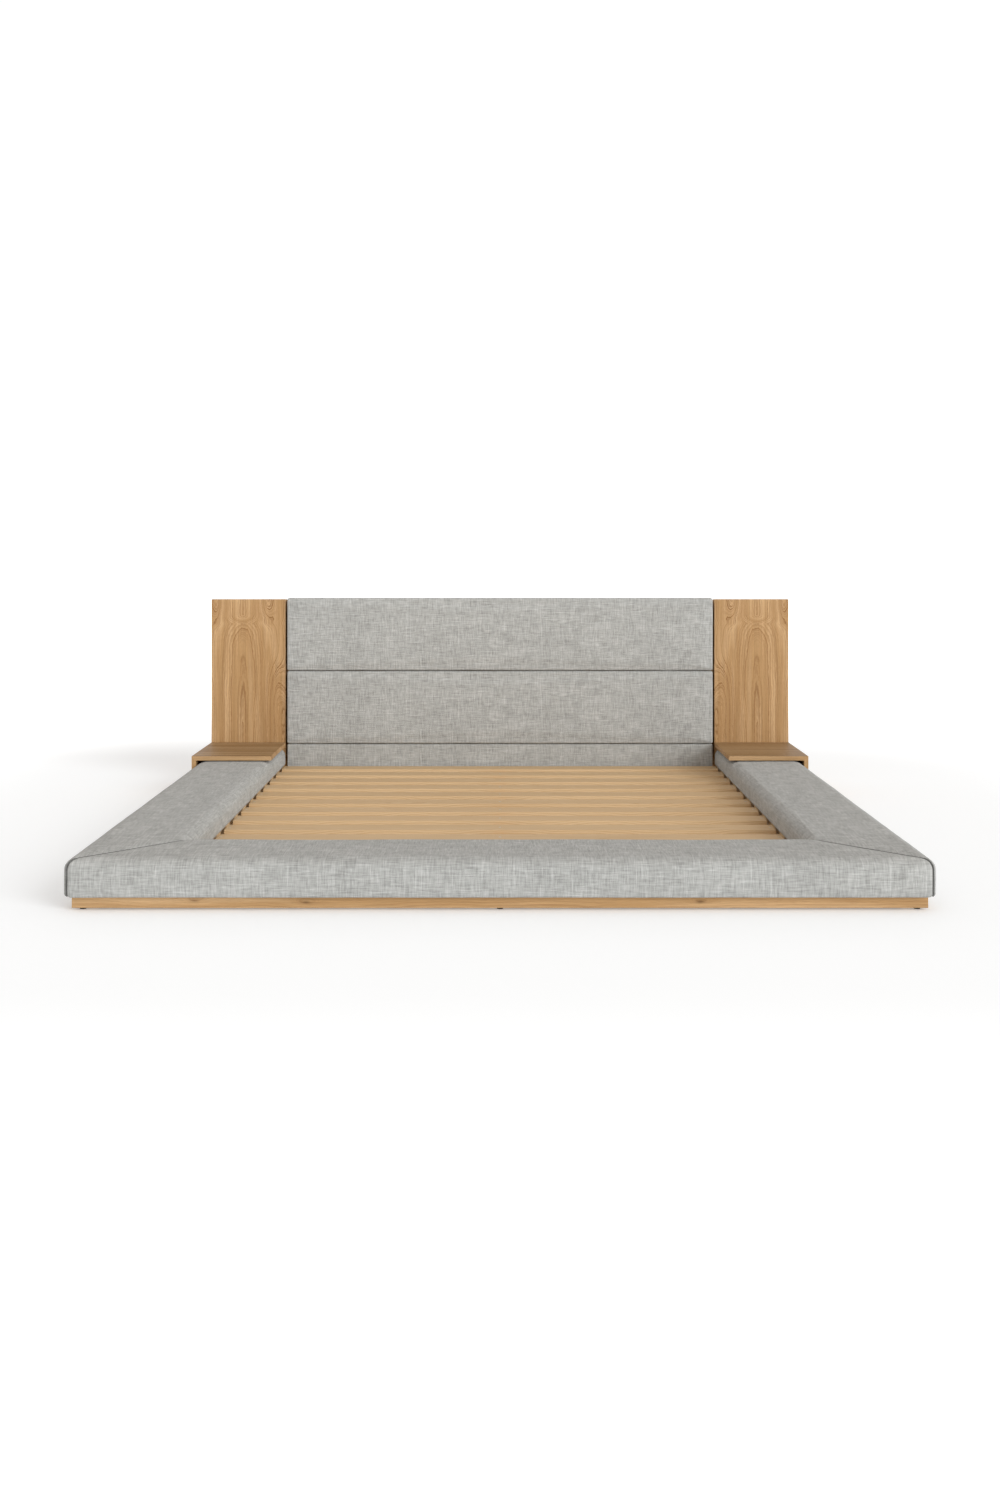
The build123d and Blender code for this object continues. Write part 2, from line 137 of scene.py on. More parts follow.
# ---- light and floor ----------------------------------------------------------------------------
key_strength = 1.85
key_elevation = 20
key_azimuth = 45  # from behind the camera towards +X
key_spread = 34
key_colour = (0.96, 0.99, 1.0)
room_strength = 0.66
room_tint = (1.0, 0.944, 0.898)
studio_white = 1.03
floor_reach = 60.0
floor_colour = (0.85, 0.875, 0.895)
near_glow = 0.22  # of the floor beside the bed
far_glow = 0.60  # added further away
fade = (0.7, 3.2)  # distances from the bed over which it is added


# ---- node trees ---------------------------------------------------------------------------------
class Number:
    """A number in a node tree, with the usual arithmetic."""

    def __init__(self, graph, socket):
        self.graph = graph
        self.socket = socket

    def __add__(self, other):
        return self.graph.math("ADD", self, other)

    def __sub__(self, other):
        return self.graph.math("SUBTRACT", self, other)

    def __rsub__(self, other):
        return self.graph.math("SUBTRACT", other, self)

    def __mul__(self, other):
        return self.graph.math("MULTIPLY", self, other)

    def __truediv__(self, other):
        return self.graph.math("DIVIDE", self, other)

    def __neg__(self):
        return self.graph.math("MULTIPLY", self, -1.0)

    def __abs__(self):
        return self.graph.math("ABSOLUTE", self)


class Graph:
    """One material's node tree and short calls for the nodes that it uses."""

    def __init__(self, name, roughness=0.6):
        self.material = bpy.data.materials.new(name)
        self.material.use_nodes = True
        self.tree = self.material.node_tree
        self.tree.nodes.clear()
        self.surface = self.add("ShaderNodeBsdfPrincipled")
        self.surface.inputs["Roughness"].default_value = roughness
        output = self.add("ShaderNodeOutputMaterial")
        self.tree.links.new(self.surface.outputs["BSDF"], output.inputs["Surface"])

    def add(self, kind, **settings):
        node = self.tree.nodes.new(kind)
        for key, value in settings.items():
            setattr(node, key, value)
        return node

    def put(self, socket, value):
        """Links a number or socket, or sets a constant."""
        if isinstance(value, Number):
            value = value.socket
        if isinstance(value, bpy.types.NodeSocket):
            self.tree.links.new(value, socket)
        else:
            socket.default_value = value

    def math(self, operation, *values):
        node = self.add("ShaderNodeMath", operation=operation)
        for socket, value in zip(node.inputs, values):
            self.put(socket, value)
        return Number(self, node.outputs[0])

    def split(self, socket):
        node = self.add("ShaderNodeSeparateXYZ")
        self.tree.links.new(socket, node.inputs[0])
        return [Number(self, s) for s in node.outputs]

    def place(self):
        """x, y and z in the frame."""
        return self.split(self.add("ShaderNodeTexCoord").outputs["Object"])

    def cloth_place(self):
        """Distances along and across the cloth."""
        return self.split(self.add("ShaderNodeTexCoord").outputs["UV"])[:2]

    def facing(self):
        """The surface's own direction."""
        return self.split(self.add("ShaderNodeNewGeometry").outputs["True Normal"])

    def noise(self, x, y=0.0, z=0.0, detail=2.0, roughness=0.5):
        """Smooth noise about 0.5, with features one unit wide."""
        where = self.add("ShaderNodeCombineXYZ")
        for socket, value in zip(where.inputs, (x, y, z)):
            self.put(socket, value)
        node = self.add("ShaderNodeTexNoise")
        self.tree.links.new(where.outputs[0], node.inputs["Vector"])
        node.inputs["Scale"].default_value = 1.0
        node.inputs["Detail"].default_value = detail
        node.inputs["Roughness"].default_value = roughness
        return Number(self, node.outputs["Fac"])

    def smooth(self, value, start, end):
        """0 below start, 1 above end."""
        node = self.add("ShaderNodeMapRange", interpolation_type="SMOOTHSTEP")
        self.put(node.inputs["Value"], value)
        node.inputs["From Min"].default_value = start
        node.inputs["From Max"].default_value = end
        return Number(self, node.outputs["Result"])

    def hill(self, *terms):
        """A rounded hill, from (offset, reach) pairs."""
        total = 0.0
        for offset, reach in terms:
            part = offset / reach
            total = part * part + total
        return self.math("EXPONENT", -total)

    def mix(self, share, low, high):
        node = self.add("ShaderNodeMix", data_type="RGBA")
        self.put(node.inputs["Factor"], share)
        for socket, value in ((node.inputs["A"], low), (node.inputs["B"], high)):
            self.put(socket, value)
        return node.outputs["Result"]

    def shade(self, colour, amount):
        """The colour made lighter or darker by a factor."""
        node = self.add("ShaderNodeVectorMath", operation="SCALE")
        self.put(node.inputs[0], colour)
        self.put(node.inputs["Scale"], amount)
        return node.outputs[0]

    def colour(self, value):
        self.put(self.surface.inputs["Base Color"], value)

    def roughness(self, value):
        self.put(self.surface.inputs["Roughness"], value)

    def bump(self, height, distance, strength=1.0):
        node = self.add("ShaderNodeBump")
        node.inputs["Distance"].default_value = distance
        node.inputs["Strength"].default_value = strength
        self.put(node.inputs["Height"], height)
        self.tree.links.new(node.outputs[0], self.surface.inputs["Normal"])


def rgb(red, green, blue):
    return (red, green, blue, 1.0)


# ---- linen --------------------------------------------------------------------------------------
linen_light = rgb(0.545, 0.547, 0.530)
linen_dark = rgb(0.285, 0.285, 0.272)
thread = 0.0012  # pitch of the weave


def linen(name, tint=1.0):
    """Plain weave of thick and thin yarns, lighter and darker along their length."""
    g = Graph(name, roughness=0.92)
    u, v = g.cloth_place()
    slub = 0.0
    yarns = ((520, 38, 0.9, 1.7), (290, 27, 1.5, 5.3), (150, 19, 1.0, 9.1))
    for across, along, weight, seed in yarns:
        warp = g.noise(u * across, v * along, seed, detail=1)
        weft = g.noise(u * along, v * across, seed + 20, detail=1)
        slub = (warp + weft - 1.0) * weight + slub
    long_warp = g.smooth(g.noise(u * 210, v * 6, 31.0, detail=0), 0.62, 0.80)
    long_weft = g.smooth(g.noise(u * 6, v * 210, 47.0, detail=0), 0.62, 0.80)
    patches = g.noise(u * 19, v * 19, 3.0, detail=2) + g.noise(u * 5, v * 5, 8.0, detail=1) * 0.5 - 0.75
    turn = 2 * math.pi / thread
    weave = g.math("SINE", u * turn) * g.math("SINE", v * turn)
    share = slub * 0.56 + (long_warp + long_weft) * 0.24 + patches * 0.50 + weave * 0.05 + 0.44
    share = g.math("MAXIMUM", g.math("MINIMUM", share, 1.0), 0.0)
    # tint scales the whole colour; the seam welts use it below 1 as painted shade
    g.colour(g.shade(g.mix(share, linen_dark, linen_light), tint))
    g.surface.inputs["Sheen Weight"].default_value = 0.08
    g.surface.inputs["Sheen Roughness"].default_value = 0.5
    g.surface.inputs["Specular IOR Level"].default_value = 0.12
    g.bump(slub + weave * 0.3 + long_warp + long_weft, 0.0005, 0.8)
    return g.material


# ---- woods --------------------------------------------------------------------------------------
oak_light = rgb(0.560, 0.364, 0.190)
oak_mid = rgb(0.425, 0.254, 0.113)
oak_dark = rgb(0.212, 0.096, 0.030)


def ring_lines(g, rings, seed):
    """Dark late wood that ends sharply at each ring, stronger in some rings than in others."""
    part = g.math("FRACT", rings)
    line = g.smooth(part, 0.25, 0.90) * g.smooth(part, 1.0, 0.92)
    return line * g.smooth(g.noise(rings * 0.37, seed, 7.0, detail=1), 0.36, 0.66)


def finish_oak(g, rings, along, across, depth, ring_strength, tint=1.0):
    """Oak from its ring lines, with pores, flecks and slow changes of tone along the grain."""
    late = ring_lines(g, rings, 3.0) * 0.75 + ring_lines(g, rings * 2.7 + 0.3, 9.0) * 0.45
    fine = g.smooth(g.noise(across * 620, along * 8, depth * 620, detail=1), 0.46, 0.70)
    pores = g.smooth(g.noise(across * 1500, along * 40, depth * 1500, detail=1), 0.56, 0.70)
    fibre = g.noise(across * 170, along * 4, depth * 170, detail=3)
    tone = g.noise(across * 26, along * 1.3, depth * 26, detail=2)
    bands = g.noise(rings * 0.16, along * 0.8, 4.0, detail=1)
    base = g.mix(g.smooth(tone + bands - 0.5, 0.30, 0.70), oak_mid, oak_light)
    base = g.mix(late * ring_strength, base, oak_dark)
    base = g.mix(fine * 0.17 + pores * 0.22, base, oak_dark)
    g.colour(g.shade(base, (fibre * 0.42 + 0.79) * tint))
    g.roughness(fibre * 0.14 + pores * 0.15 + 0.42)
    g.surface.inputs["Specular IOR Level"].default_value = 0.2
    g.bump(fibre * 0.4 - pores - late * 0.3, 0.00025, 0.7)
    return g.material


wing_width = wing_high[0] - wing_low[0]
heart_inset = wing_width * 0.575  # from the wing's inner edge
heart_drop = 0.112  # below its top edge


def wing_oak():
    """Crown-cut figure of the headboard wings, each the other's mirror image: arches that close at a
    heart near the top, curls in the top corners and along the edge beside the cushions."""
    g = Graph("oak_wings")
    x, y, z = g.place()
    inset = abs(x) - recess_half
    drift = (g.noise(inset * 6, z * 3.2, 4.0, detail=3) - 0.5) * 0.036
    across = inset - heart_inset + drift
    above_heart = z - (wing_high[2] - heart_drop) + drift * 0.6
    fading = g.math("EXPONENT", g.math("MINIMUM", above_heart, 0.0) / 0.060)
    tail = g.smooth(above_heart, -0.60, 0.0) * 0.022
    closing = (fading * 0.046 + tail) * g.smooth(above_heart, 0.045, -0.006)
    reach = g.math("SQRT", across * across + closing * closing)
    rising = g.smooth(above_heart, -0.045, 0.115)
    outer_cup = g.hill((inset - wing_width * 0.930, 0.025)) * rising * 0.095
    inner_cup = g.hill((inset - wing_width * 0.245, 0.034)) * rising * 0.100
    middle = wing_high[2] - 0.30
    edge_cap = g.hill((inset - 0.042, 0.046)) * g.smooth(z, middle + 0.08, middle - 0.18) * 0.110
    low_cap = g.hill((inset - 0.002, 0.024)) * g.smooth(z, middle - 0.10, middle - 0.24) * 0.050
    outer_cap = g.hill((inset - wing_width, 0.024)) * g.smooth(z, middle, middle - 0.12) * 0.040
    curls = outer_cup + inner_cup + edge_cap + low_cap + outer_cap
    wander = g.noise(inset * 40, z * 7, 2.0, detail=3) * 1.2
    jags = (g.noise(inset * 150, z * 40, 5.0, detail=1) - 0.5) * (curls * 8 + 0.5)
    strength = g.smooth(curls, 0.004, 0.030) * 0.65 + g.hill((reach - 0.05, 0.04)) * 0.40 + 0.56
    return finish_oak(g, (reach + curls) * 98 + wander + jags, z, inset, y * 0.2, strength, 1.05)


def straight_oak(name, axis, seed, tint=1.0, upright_tint=1.0):
    """Quarter-cut oak with its grain along one axis, with long shallow arches. tint is for its level
    faces and upright_tint for its upright ones; a darker tint on the level faces is painted shade."""
    g = Graph(name)
    place = g.place()
    along = place[axis]
    across = place[(axis + 1) % 3] + place[(axis + 2) % 3] * 0.83
    other = place[(axis + 2) % 3] - place[(axis + 1) % 3] * 0.31
    sway = (g.noise(along * 1.3, across * 7, seed, detail=3) - 0.5) * 0.11
    wander = g.noise(along * 6, across * 60, seed + 7) * 0.7
    # Level faces take tint and upright faces upright_tint: any difference between them is painted shade by
    # facing.
    upright_faces = g.smooth(abs(g.facing()[2]), 0.7, 0.5)
    shown = upright_faces * (upright_tint - tint) + tint
    return finish_oak(g, (across + sway) * 80 + wander, along, across, other, 0.50, shown)


knots = ((-0.93, 0.030, 0.6), (-0.59, 0.026, 1.0), (0.61, 0.027, 1.0))  # place along, height, strength


def knotty_oak(name, axis, seed):
    """Straight oak with a few small knots that the grain flows round."""
    g = Graph(name)
    place = g.place()
    along, across = place[axis], place[2]
    other = place[1 - axis]
    hills, hearts = 0.0, 0.0
    for spot, height, size in knots:
        hills = g.hill((along - spot, 0.050), (across - height, 0.012)) * size + hills
        hearts = g.hill((along - spot, 0.013), (across - height, 0.005)) * size + hearts
    sway = (g.noise(along * 1.5, across * 6, seed, detail=3) - 0.5) * 0.08
    wander = g.noise(along * 7, across * 70, seed + 3) * 0.8
    rings = (across + sway + hills * 0.026) * 105 + wander
    return finish_oak(g, rings, along, across, other, hearts * 0.7 + 0.42, 1.07 - hearts * 0.45)


pine_light, pine_dark = rgb(0.66, 0.47, 0.27), rgb(0.47, 0.29, 0.13)
birch_light, birch_dark = rgb(0.66, 0.50, 0.31), rgb(0.48, 0.33, 0.17)
ply_pair = 0.0024  # thickness of a light and a dark ply
boards_per_metre = 5.68  # of the slatted deck, so that each slat has its own figure
first_board = 0.18


def soft_wood(name, axis, seed):
    """Planed softwood with faint growth lines along one axis."""
    g = Graph(name, roughness=0.62)
    place = g.place()
    along = place[axis]
    across, other = place[(axis + 1) % 3], place[(axis + 2) % 3]
    board = g.math("FLOOR", place[1] * boards_per_metre + first_board) if axis == 0 else 0.0
    sway = (g.noise(along * 1.7, across * 9, board + seed, detail=3) - 0.5) * 0.10
    line = g.math("SINE", (across + other + sway) * 700)
    fibre = g.noise(along * 9, across * 420, other * 420, detail=3)
    tone = g.noise(along * 1.2, across * 10, board * 3.7 + seed, detail=2)
    share = g.smooth(line, 0.2, 1.0) * 0.5 + fibre * 0.35 + (tone - 0.5) * 0.5
    g.colour(g.mix(share, pine_light, pine_dark))
    g.bump(fibre - line * 0.2, 0.0002, 0.6)
    return g.material


def plywood(name, seed):
    """Rotary-cut birch face veneers, with the plies showing as stripes on the edges."""
    g = Graph(name, roughness=0.66)
    x, y, z = g.place()
    sway = (g.noise(x * 1.4, y * 5, seed, detail=3) - 0.5) * 0.9
    figure = g.math("SINE", (y * 9 + sway * 5) * 6)
    fibre = g.noise(x * 11, y * 320, z * 320, detail=2)
    plies = g.smooth(g.math("SINE", z * (2 * math.pi / ply_pair)), -0.2, 0.2)
    edge = g.smooth(abs(g.facing()[2]), 0.7, 0.5)
    face_share = g.smooth(figure, 0.0, 1.0) * 0.35 + fibre * 0.4
    share = face_share * (1.0 - edge) + plies * edge * 0.8
    g.colour(g.mix(share, birch_light, birch_dark))
    g.bump(fibre, 0.0002, 0.5)
    return g.material


# ---- metal and plastic --------------------------------------------------------------------------
pad_gap = 0.0003  # between a foot's pad and the plinth
stud_pitch = 0.00125


def zinc():
    """Bright zinc plate with a faint mottled crystal and handling scuffs."""
    g = Graph("zinc_plated_steel", roughness=0.38)
    x, y, z = g.place()
    crystal = g.noise(x * 420, y * 420, z * 420, detail=3)
    scuff = g.smooth(g.noise(x * 60, y * 900, z * 60), 0.58, 0.7)
    g.colour(g.mix(crystal, rgb(0.52, 0.53, 0.54), rgb(0.66, 0.66, 0.64)))
    g.roughness(crystal * 0.18 + scuff * 0.12 + 0.26)
    g.surface.inputs["Metallic"].default_value = 1.0
    g.bump(crystal + scuff * 0.5, 0.00008, 0.6)
    return g.material


def foot_material(pad_top):
    """Black moulded pad under a zinc-plated stud."""
    g = Graph("leveling_foot_plastic_and_steel", roughness=0.5)
    x, y, z = g.place()
    border = 0.0002
    stud = g.smooth(z, pad_top - border, pad_top + border)
    grain = g.noise(x * 1500, y * 1500, z * 1500, detail=2)
    pad_colour = g.mix(grain, rgb(0.010, 0.010, 0.011), rgb(0.022, 0.022, 0.023))
    g.colour(g.mix(stud, pad_colour, rgb(0.60, 0.60, 0.59)))
    g.put(g.surface.inputs["Metallic"], stud)
    g.roughness(grain * 0.2 + 0.42 - stud * 0.12)
    thread_lines = g.math("SINE", z * (2 * math.pi / stud_pitch)) * stud
    g.bump(grain * 0.15 + thread_lines, 0.0002, 0.7)
    return g.material


def black_plastic():
    """Fine-grained black plastic."""
    g = Graph("black_glide_plastic", roughness=0.5)
    x, y, z = g.place()
    grain = g.noise(x * 1400, y * 1400, z * 1400, detail=2)
    g.colour(g.mix(grain, rgb(0.010, 0.010, 0.011), rgb(0.024, 0.024, 0.025)))
    g.roughness(grain * 0.2 + 0.45)
    g.bump(grain, 0.0001, 0.6)
    return g.material


def paint(material, *names):
    """Gives CAD nodes that keep their own shape their material."""
    for name in names:
        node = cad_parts[name]
        if not node.material_slots:
            node.data.materials.append(material)
        for slot in node.material_slots:
            slot.material = material


# ---- outlines -----------------------------------------------------------------------------------
def rounded_path(corners, radii, spacing):
    """Points along an open path of straight runs, its corners rounded, no further apart than spacing."""
    runs = []
    corners = [np.array(c, float) for c in corners]
    for i, corner in enumerate(corners):
        radius = radii[i]
        if radius <= 0:
            runs.append([corner])
            continue
        before = corners[i - 1] - corner
        after = corners[i + 1] - corner
        before /= np.linalg.norm(before)
        after /= np.linalg.norm(after)
        start, end = corner + before * radius, corner + after * radius
        centre = start + after * radius
        steps = max(4, round(radius * math.pi / 2 / arc_cell))
        angles = np.linspace(0, math.pi / 2, steps + 1)
        arc = [centre - after * radius * math.cos(a) - before * radius * math.sin(a) for a in angles]
        arc[0], arc[-1] = start, end
        runs.append(arc)
    points = []
    for run in runs:
        if points:
            gap = run[0] - points[-1]
            count = max(1, math.ceil(np.linalg.norm(gap) / spacing))
            points += [points[-1] + gap * k / count for k in range(1, count)]
        points += run
    return np.array(points)


def distances(points):
    """How far along a path each point lies."""
    steps = np.linalg.norm(np.diff(points, axis=0), axis=1)
    return np.concatenate([[0], np.cumsum(steps)])


def stations(start, end):
    """Places from start to end, closer together near both."""
    fine = np.array(end_steps)
    first = start + fine
    last = end - fine[::-1]
    count = max(2, round((last[0] - first[-1]) / cell))
    middle = np.linspace(first[-1], last[0], count + 1)[1:-1]
    return np.concatenate([first, middle, last])


# ---- meshes -------------------------------------------------------------------------------------
def skin(name, rings, along, around, material):
    """A closed skin through rings of points, with its ends closed. along and around place the cloth
    on it: along for each point, around for each point and once more where the ring closes."""
    count, size = rings.shape[:2]
    mesh = bpy.data.meshes.new(name)
    faces = []
    for i in range(count - 1):
        for j in range(size):
            k = (j + 1) % size
            a, b = i * size, (i + 1) * size
            faces.append((a + j, a + k, b + k, b + j))
    faces.append(tuple(range(size - 1, -1, -1)))
    faces.append(tuple((count - 1) * size + j for j in range(size)))
    mesh.from_pydata(rings.reshape(-1, 3).tolist(), [], faces)
    layer = mesh.uv_layers.new(name="cloth")
    for face in mesh.polygons[: (count - 1) * size]:
        i, j = divmod(face.index, size)
        k = (j + 1) % size
        corners = ((i, j, j), (i, k, j + 1), (i + 1, k, j + 1), (i + 1, j, j))
        for loop, (ring, point, turn) in zip(face.loop_indices, corners):
            layer.data[loop].uv = (along[ring, point], around[turn])
    body = bmesh.new()
    body.from_mesh(mesh)
    bmesh.ops.recalc_face_normals(body, faces=body.faces)
    bmesh.ops.triangulate(body, faces=[face for face in body.faces if len(face.verts) > 4])
    body.to_mesh(mesh)
    body.free()
    mesh.polygons.foreach_set("use_smooth", [True] * len(mesh.polygons))
    mesh.materials.append(material)
    piece = bpy.data.objects.new(name, mesh)
    bpy.context.scene.collection.objects.link(piece)
    return piece


def read_points(mesh):
    flat = np.empty(len(mesh.vertices) * 3, np.float32)
    mesh.vertices.foreach_get("co", flat)
    return flat.reshape(-1, 3).astype(float)


def write_points(mesh, points):
    mesh.vertices.foreach_set("co", points.astype(np.float32).ravel())
    mesh.update()


def inflate(piece, held, cap, pressure):
    """Lets the foam push the cover out by a short cloth simulation, held along its tacked edges."""
    scene = bpy.context.scene
    group = piece.vertex_groups.new(name="held")
    group.add([int(i) for i in held], 1.0, "REPLACE")
    cloth = piece.modifiers.new("cloth", "CLOTH")
    settings = cloth.settings
    for key, value in cloth_settings.items():
        setattr(settings, key, value)
    settings.vertex_group_mass = "held"
    settings.use_pressure = True
    settings.uniform_pressure_force = pressure
    settings.effector_weights.gravity = 0.0
    cloth.collision_settings.use_collision = False
    cloth.point_cache.frame_start = 1
    cloth.point_cache.frame_end = sim_frames
    for number in range(1, sim_frames + 1):
        scene.frame_set(number)
    rest = read_points(piece.data)
    shaped = piece.evaluated_get(bpy.context.evaluated_depsgraph_get()).to_mesh()
    move = read_points(shaped) - rest
    piece.modifiers.remove(cloth)
    piece.vertex_groups.remove(group)
    scene.frame_set(1)
    normals = np.array([v.normal for v in piece.data.vertices])
    lift = np.maximum((move * normals).sum(axis=1), 0.0)
    write_points(piece.data, rest + normals * (cap * np.tanh(lift / cap))[:, None])


def uneven(piece, held, amount):
    """Slow unevenness of cloth pulled over foam, the same on every run."""
    points = read_points(piece.data)
    free = np.ones(len(points))
    free[held] = 0
    normals = np.array([v.normal for v in piece.data.vertices])
    wave = np.zeros(len(points))
    for k, (fx, fy, fz, phase) in enumerate(ripple_waves):
        turn = points @ np.array([fx, fy, fz]) + phase
        cross = points @ np.array([fy, -fx, fz * 0.7]) * 1.3 + phase * 1.7
        wave += np.sin(turn) * np.sin(cross) / (k + 1)
    write_points(piece.data, points + normals * (wave * amount * free)[:, None])


def press_back(piece):
    """Holds a side rail's swollen face clear of the bedside upright that stands against it."""
    points = read_points(piece.data)
    side_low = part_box("right_nightstand_side")[0]
    limit = side_low[0] - upright_clearance
    nearness = np.clip((points[:, 1] - side_low[1] + press_start) / press_reach, 0, 1)
    over = np.maximum(np.abs(points[:, 0]) - limit, 0)
    points[:, 0] -= np.sign(points[:, 0]) * over * nearness
    write_points(piece.data, points)


def smooth_out(piece):
    """One level of subdivision, kept as a modifier."""
    level = piece.modifiers.new("subdivision", "SUBSURF")
    level.levels = 1
    level.render_levels = 1


def settle(piece, replaced):
    """Fixes a piece to the bed's body and hides the CAD parts that it replaces."""
    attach(piece, BODY)
    if replaced:
        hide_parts(*replaced)


# ---- the three rails ----------------------------------------------------------------------------
def rail_section():
    """Outline of a rail as (depth from its outer face, height): first its skin, then the timber that
    it lies on. Also how many of the points are the skin's."""
    liner_low = carcass_low[2]
    inner_base = deck_top + deck_clearance
    outer = [
        (hem_turn_in, rail_base),
        (0, rail_base),
        (0, rail_top),
        (rail_width, rail_top),
        (rail_width, inner_base),
    ]
    path = rounded_path(outer, [0, hem_radius, shoulder_radius, recess_radius, 0], cell)
    timber_outer = outer_half - carcass_high[0]
    timber_inner = outer_half - carcass_low[0]
    liner = [
        (timber_inner, inner_base),
        (timber_inner, carcass_high[2]),
        (timber_outer, carcass_high[2]),
        (timber_outer, liner_low),
        (hem_turn_in, liner_low),
    ]
    return np.vstack([path, liner]), len(path)


def outward(section, skin_count):
    """Directions out of the skin, in the section's plane."""
    path = section[:skin_count]
    ahead = np.gradient(path, axis=0)
    normals = np.stack([-ahead[:, 1], ahead[:, 0]], axis=1)
    normals /= np.linalg.norm(normals, axis=1)[:, None]
    full = np.zeros_like(section)
    full[:skin_count] = normals
    return full


def round_corner(depth, run):
    """Bends the outermost layers round a foot corner. depth and run are the distances in from the
    rail's own outer face and from the face that it meets there."""
    layer = np.minimum(depth, run)
    radius = corner_radius - layer
    near = (radius > 0) & (run < corner_radius) & (depth < corner_radius)
    safe = np.where(near, radius, 1.0)
    turn = (1 - (run - depth) / safe) * math.pi / 4
    new_depth = corner_radius - radius * np.cos(turn)
    new_run = corner_radius - radius * np.sin(turn)
    return np.where(near, new_depth, depth), np.where(near, new_run, run)


def rail_rings(length, mitres, put):
    """Rings of a rail's skin, with how far along the rail each point lies. length runs along its outer
    face, mitres names its mitred ends, and put turns (depth, run, height) into a place."""
    section, skin_count = rail_section()
    out = outward(section, skin_count)
    rings, along = [], []
    for place in stations(0, length):
        near_ends = [math.exp(-((gap / seam_width) ** 2)) for gap in (place, length - place)]
        depth, height = (section - out * sum(near_ends) * seam_depth).T
        start = depth if "start" in mitres else np.zeros_like(depth)
        end = length - depth if "end" in mitres else np.full_like(depth, length)
        run = start + (end - start) * (place / length)
        if "start" in mitres:
            depth, run = round_corner(depth, run)
        if "end" in mitres:
            depth, back = round_corner(depth, length - run)
            run = length - back
        rings.append(put(depth, run, height))
        along.append(run)
    return np.array(rings), np.array(along)


def place_foot(depth, run, height):
    return np.stack([run - outer_half, front_y + depth, height], axis=1)


def place_right(depth, run, height):
    return np.stack([outer_half - depth, front_y + run, height], axis=1)


def place_left(depth, run, height):
    return np.stack([depth - outer_half, front_y + run, height], axis=1)


def make_rail(name, length, mitres, put, cloth):
    """A rail's cover, tacked along its timber and at both ends."""
    section, skin_count = rail_section()
    rings, along = rail_rings(length, mitres, put)
    count, size = rings.shape[:2]
    around = distances(np.vstack([section, section[:1]]))
    piece = skin(name, rings, along, around, cloth)
    index = np.arange(count * size).reshape(count, size)
    lined = index[:, list(range(skin_count, size)) + [0, 1, skin_count - 1]]
    ends = index[[0, 1, -2, -1]]
    held = np.unique(np.concatenate([lined.ravel(), ends.ravel()]))
    inflate(piece, held, swell, rail_pressure)
    uneven(piece, held, ripple)
    press_back(piece)
    smooth_out(piece)
    settle(piece, [f"{name}_cover", f"{name}_foam"])


def tube(name, path, radius, sides, material):
    """A round cord along a path of points."""
    ahead = np.gradient(path, axis=0)
    ahead /= np.linalg.norm(ahead, axis=1)[:, None]
    rings = []
    askew = (0.3, 0.5, 0.8)  # along no run of a seam
    side = np.cross(ahead[0], askew)
    for point, direction in zip(path, ahead):
        side = side - direction * np.dot(side, direction)
        side /= np.linalg.norm(side)
        up = np.cross(direction, side)
        turns = np.arange(sides) * 2 * math.pi / sides
        ring = [point + radius * (math.cos(t) * side + math.sin(t) * up) for t in turns]
        rings.append(ring)
    reach = distances(path)
    along = np.repeat(reach[:, None], sides, axis=1)
    around = np.linspace(0, 2 * math.pi * radius, sides + 1)
    return skin(name, np.array(rings), along, around, material)


def corner_welt(name, put, cloth):
    """The narrow welt of a mitre seam, from the hem up the corner and over the rail."""
    section, skin_count = rail_section()
    out = outward(section, skin_count)
    path = (section - out * welt_sink)[hem_points:skin_count]
    depth, run = round_corner(path[:, 0], path[:, 0])
    points = put(depth, run, path[:, 1])
    piece = tube(name, points, welt_radius, welt_sides, cloth)
    settle(piece, [])


# ---- headboard cushions -------------------------------------------------------------------------
def padded_box(name, low, high, edge, cloth):
    """A block with rounded edges except at its back. Gives the piece and its held points."""
    depth, height = high[1] - low[1], high[2] - low[2]
    fine = np.array(edge_steps)
    steps = max(2, round((height - 2 * fine[-1]) / cell))
    rise = np.concatenate([[0], fine, np.linspace(fine[-1], height - fine[-1], steps + 1)[1:-1]])
    rise = np.concatenate([rise, height - fine[::-1], [height]])
    reach = np.concatenate([[0], fine, np.linspace(fine[-1], depth, depth_lines)[1:]])
    bottom = [(r, 0.0) for r in reach[:0:-1]]
    top = [(r, height) for r in reach[1:]]
    loop = np.array(bottom + [(0.0, z) for z in rise] + top)
    rings, along = [], []

    def add(x, inset):
        ys = low[1] + inset + loop[:, 0] * (1 - inset / depth)
        zs = low[2] + inset + loop[:, 1] * (1 - 2 * inset / height)
        rings.append(np.stack([np.full(len(loop), x), ys, zs], axis=1))
        along.append(np.full(len(loop), x + math.copysign(inset, x)))

    insets = np.concatenate([[end_inset], fine[::-1]])
    for inset in insets:
        add(low[0], inset)
    for x in stations(low[0], high[0]):
        add(x, 0.0)
    for inset in insets[::-1]:
        add(high[0], inset)
    rings = np.array(rings)
    inner_low = np.array(low, float) + edge
    inner_high = np.array(high, float) - edge
    inner_high[1] = high[1]
    core = np.clip(rings, inner_low, inner_high)
    away = rings - core
    length = np.linalg.norm(away, axis=2, keepdims=True)
    rounded = np.where(length > tiny, core + away * (edge / np.maximum(length, tiny)), rings)
    around = distances(np.vstack([loop, loop[:1]]))
    piece = skin(name, rounded, np.array(along), around, cloth)
    index = np.arange(rings.shape[0] * rings.shape[1]).reshape(rings.shape[:2])
    at_back = index[:, loop[:, 0] > depth - back_band]
    ends = [index[:held_rings].ravel(), index[-held_rings:].ravel()]
    held = np.unique(np.concatenate([at_back.ravel(), *ends]))
    return piece, held


